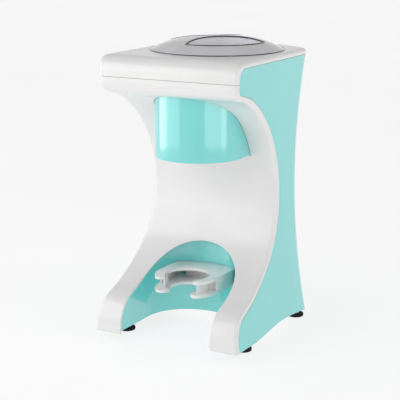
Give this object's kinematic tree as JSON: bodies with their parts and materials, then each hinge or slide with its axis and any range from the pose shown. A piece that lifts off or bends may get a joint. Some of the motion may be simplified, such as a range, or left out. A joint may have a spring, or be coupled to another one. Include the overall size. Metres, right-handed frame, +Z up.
{
  "type": "shaved ice machine",
  "caption": "Tabletop shaved ice machine: S-curved body with a domed twist-off lid over the ice chamber, turning blades, a downward chute and a paper cone holder.",
  "frame": {"origin": "on the floor under the middle of the body's bounding box", "axes": "+Z up, -Y towards the front where the ice comes out, +X to the viewer's right when facing the front"},
  "size_m": [0.2152, 0.2591, 0.4018],
  "materials": {
    "white": "glossy white moulded plastic",
    "teal": "glossy light aqua moulded plastic",
    "smoke": "translucent smoke-grey moulded plastic",
    "frost": "natural translucent moulded plastic",
    "rubber": "black rubber",
    "steel": "brushed stainless steel",
    "zinc": "zinc-plated steel",
    "nylon": "natural nylon",
    "black_plastic": "black moulded plastic",
    "board": "green circuit board",
    "bronze": "sintered bronze"
  },
  "bodies": {
    "housing": {"top_cover": "white", "front_band": "white", "chute_floor": "white", "ice_chute": "white", "base_plate": "white", "holder_bracket": "white", "left_side_panel": "teal", "right_side_panel": "teal", "rear_cover": "teal", "recess_wall": "teal", "chute_housing": "teal", "ice_chamber": "frost", "foot_front_left": "rubber", "foot_front_right": "rubber", "foot_rear_left": "rubber", "foot_rear_right": "rubber", "motor_can": "zinc", "gear_plate": "zinc", "motor_screw_1": "zinc", "motor_screw_2": "zinc", "motor_cradle": "zinc", "chassis_left": "zinc", "chassis_right": "zinc", "switch_bracket": "zinc", "foot_screw_front_left": "zinc", "foot_screw_front_right": "zinc", "foot_screw_rear_left": "zinc", "foot_screw_rear_right": "zinc", "microswitch": "black_plastic", "cord_gland": "black_plastic", "power_board": "board", "upper_bearing": "bronze", "lower_bearing": "bronze"},
    "lid_seat": {"lid_seal": "rubber"},
    "lid": {"lid": "smoke", "lid_cam": "frost", "ice_pusher": "frost"},
    "interlock_pin": {"interlock_pin": "black_plastic", "interlock_spring": "steel"},
    "blade_rotor": {"blade_disc": "steel", "shaving_blade_1": "steel", "shaving_blade_2": "steel", "blade_screw_1_1": "zinc", "blade_screw_1_2": "zinc", "blade_screw_2_1": "zinc", "blade_screw_2_2": "zinc", "blade_hub": "zinc", "blade_shaft": "steel", "large_gear": "nylon"},
    "motor_rotor": {"motor_shaft": "steel", "pinion": "nylon", "cooling_fan": "black_plastic"},
    "cone_holder": {"cone_holder": "white"}
  },
  "joints": [
    {"name": "lid_lift", "type": "slide", "parent": "housing", "child": "lid_seat", "axis": [0, 0, 1], "range_m": [0, 0.06]},
    {"name": "lid_twist", "type": "hinge", "parent": "lid_seat", "child": "lid", "pos_m": [0, 0.018, 0.3838], "axis": [0, 0, 1], "range_deg": [0, 39]},
    {"name": "interlock_travel", "type": "slide", "parent": "housing", "child": "interlock_pin", "axis": [0, 0, 1], "range_m": [0, 0.0025], "deforming": ["interlock_spring"]},
    {"name": "blade_spin", "type": "hinge", "parent": "housing", "child": "blade_rotor", "pos_m": [0, 0.018, 0.343], "axis": [0, 0, 1], "continuous": true},
    {"name": "motor_spin", "type": "hinge", "parent": "housing", "child": "motor_rotor", "pos_m": [0, 0.06107, 0.24], "axis": [0, 0, 1], "continuous": true},
    {"name": "holder_pull", "type": "slide", "parent": "housing", "child": "cone_holder", "axis": [0, -1, 0], "range_m": [0, 0.08]}
  ],
  "couplings": [
    {"joint": "interlock_travel", "follows": "lid_twist", "m_per_rad": 0.003672},
    {"joint": "motor_spin", "follows": "blade_spin", "ratio": -3.75}
  ]
}
